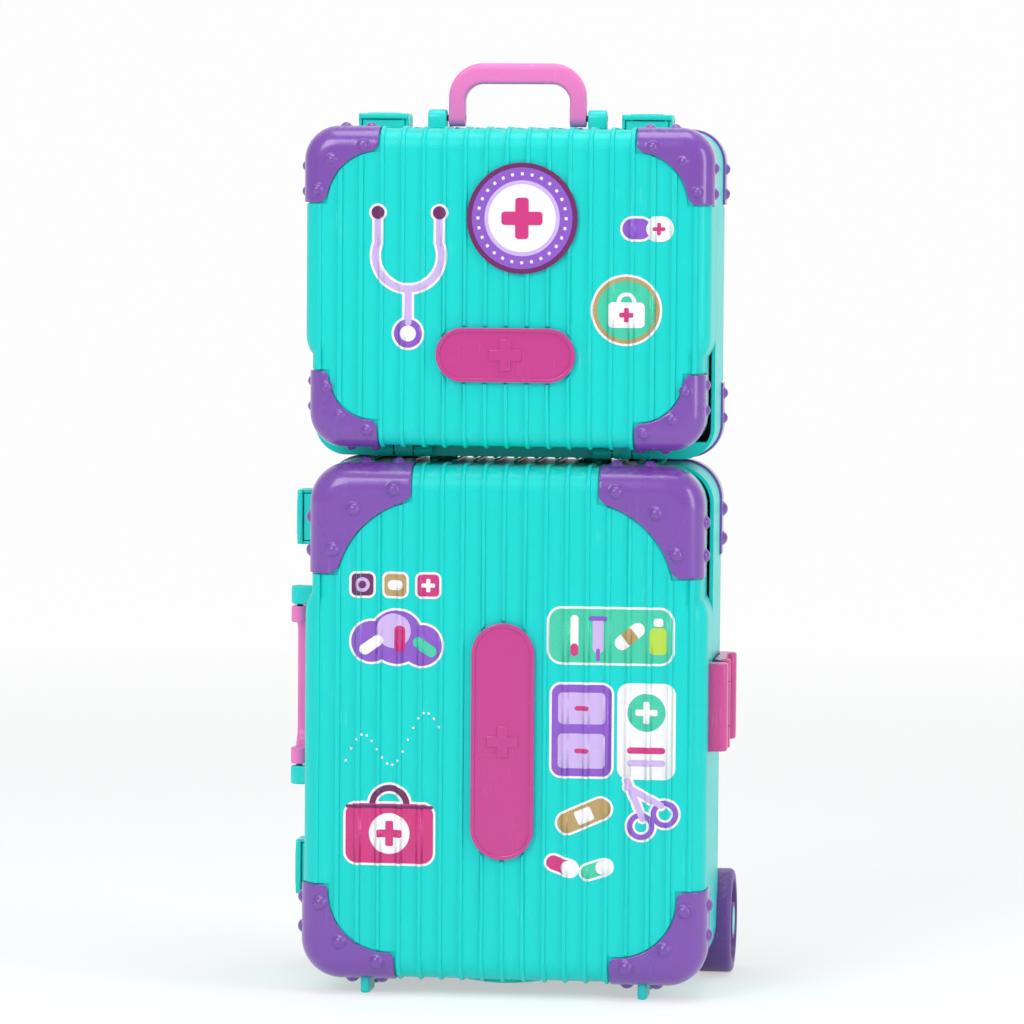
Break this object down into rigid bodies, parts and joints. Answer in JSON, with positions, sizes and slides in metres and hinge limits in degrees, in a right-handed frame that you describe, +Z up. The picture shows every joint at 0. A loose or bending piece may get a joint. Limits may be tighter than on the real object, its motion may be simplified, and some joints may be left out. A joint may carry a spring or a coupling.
{
  "type": "toy doctor case",
  "caption": "Children's two-part wheeled play case: an upper carry case with a bail handle stacked on a taller ribbed case with a side-hinged door.",
  "frame": {"origin": "middle of the bounding box's footprint, on the floor that the feet and wheels stand on", "axes": "+X to the object's right seen from the front, -Y out of the front, +Z up"},
  "size_m": [0.2847, 0.177, 0.5923],
  "materials": {
    "shell": "gloss moulded turquoise plastic",
    "trim": "gloss moulded turquoise plastic",
    "guard": "gloss moulded purple plastic",
    "wheel": "satin moulded purple plastic",
    "pink": "gloss moulded pink plastic",
    "hinge": "gloss moulded deep pink plastic",
    "tray": "satin formed ivory plastic",
    "pin": "gloss dark blue plastic",
    "steel": "plated steel",
    "plate": "gloss moulded magenta plastic"
  },
  "bodies": {
    "lower_base": {"lower_rear_shell": "shell", "lower_rear_guard_left": "guard", "lower_rear_guard_right": "guard", "lower_tray": "tray", "wheel_axle": "steel", "left_wheel_bracket": "trim", "right_wheel_bracket": "trim", "bracket_screws": "steel", "rear_feet": "trim", "side_handle_top_ear": "trim", "side_handle_bottom_ear": "trim", "side_handle_pins": "pin", "side_latch_lugs": "trim", "side_latch_pins": "steel", "hinge_rear_leaf": "hinge", "hinge_pin": "steel", "hinge_rear_screws": "steel"},
    "lower_door": {"lower_front_shell": "shell", "lower_front_guard_top_left": "guard", "lower_front_guard_top_right": "guard", "lower_front_guard_bottom_left": "guard", "lower_front_guard_bottom_right": "guard", "lower_name_plate": "plate", "front_feet": "trim", "hinge_front_leaf": "hinge", "hinge_front_screws": "steel", "side_latch_catches": "trim"},
    "upper_base": {"upper_rear_shell": "shell", "upper_rear_guard_top_left": "guard", "upper_rear_guard_top_right": "guard", "upper_rear_guard_bottom_left": "guard", "upper_rear_guard_bottom_right": "guard", "upper_tray": "tray", "top_handle_left_ear": "trim", "top_handle_right_ear": "trim", "top_handle_pins": "pin", "top_latch_lugs": "trim", "top_latch_pins": "steel", "lid_hinge_pins": "steel"},
    "upper_lid": {"upper_front_shell": "shell", "upper_front_guard_top_left": "guard", "upper_front_guard_top_right": "guard", "upper_front_guard_bottom_left": "guard", "upper_front_guard_bottom_right": "guard", "upper_name_plate": "plate", "top_latch_catches": "trim"},
    "side_latch_top": {"side_latch_top": "trim"},
    "side_latch_bottom": {"side_latch_bottom": "trim"},
    "side_handle": {"side_handle": "pink"},
    "left_wheel": {"left_wheel": "wheel", "left_hub_cap": "trim"},
    "right_wheel": {"right_wheel": "wheel", "right_hub_cap": "trim"},
    "top_latch_left": {"top_latch_left": "trim"},
    "top_latch_right": {"top_latch_right": "trim"},
    "top_handle": {"top_handle": "pink"}
  },
  "joints": [
    {"name": "lower_door_hinge", "type": "hinge", "parent": "lower_base", "child": "lower_door", "pos_m": [0.1358, -0.035, 0.186], "axis": [0, 0, 1], "range_deg": [0, 120]},
    {"name": "side_latch_top_pivot", "type": "hinge", "parent": "lower_base", "child": "side_latch_top", "pos_m": [-0.1339, -0.026, 0.3015], "axis": [0, 0, -1], "range_deg": [0, 100]},
    {"name": "side_latch_bottom_pivot", "type": "hinge", "parent": "lower_base", "child": "side_latch_bottom", "pos_m": [-0.1339, -0.026, 0.076], "axis": [0, 0, -1], "range_deg": [0, 100]},
    {"name": "side_handle_pivot", "type": "hinge", "parent": "lower_base", "child": "side_handle", "pos_m": [-0.139, -0.026, 0.192], "axis": [0, 0, 1], "range_deg": [0, 90]},
    {"name": "left_wheel_spin", "type": "hinge", "parent": "lower_base", "child": "left_wheel", "pos_m": [-0.1255, 0.055, 0.034], "axis": [1, 0, 0], "continuous": true},
    {"name": "right_wheel_spin", "type": "hinge", "parent": "lower_base", "child": "right_wheel", "pos_m": [0.1255, 0.055, 0.034], "axis": [1, 0, 0], "continuous": true},
    {"name": "upper_case_lift", "type": "slide", "parent": "lower_base", "child": "upper_base", "axis": [0, 0, 1], "range_m": [0, 0.15]},
    {"name": "upper_lid_hinge", "type": "hinge", "parent": "upper_base", "child": "upper_lid", "pos_m": [0, -0.0393, 0.345], "axis": [1, 0, 0], "range_deg": [0, 110.01]},
    {"name": "top_latch_left_pivot", "type": "hinge", "parent": "upper_base", "child": "top_latch_left", "pos_m": [-0.08417, -0.026, 0.5554], "axis": [-1, 0, 0], "range_deg": [0, 100]},
    {"name": "top_latch_right_pivot", "type": "hinge", "parent": "upper_base", "child": "top_latch_right", "pos_m": [0.08417, -0.026, 0.5554], "axis": [-1, 0, 0], "range_deg": [0, 100]},
    {"name": "top_handle_pivot", "type": "hinge", "parent": "upper_base", "child": "top_handle", "pos_m": [0, -0.026, 0.5573], "axis": [1, 0, 0], "range_deg": [-90, 90]}
  ],
  "couplings": [
    {"joint": "upper_lid_hinge", "follows": "upper_case_lift", "rad_per_m": 12.8}
  ]
}
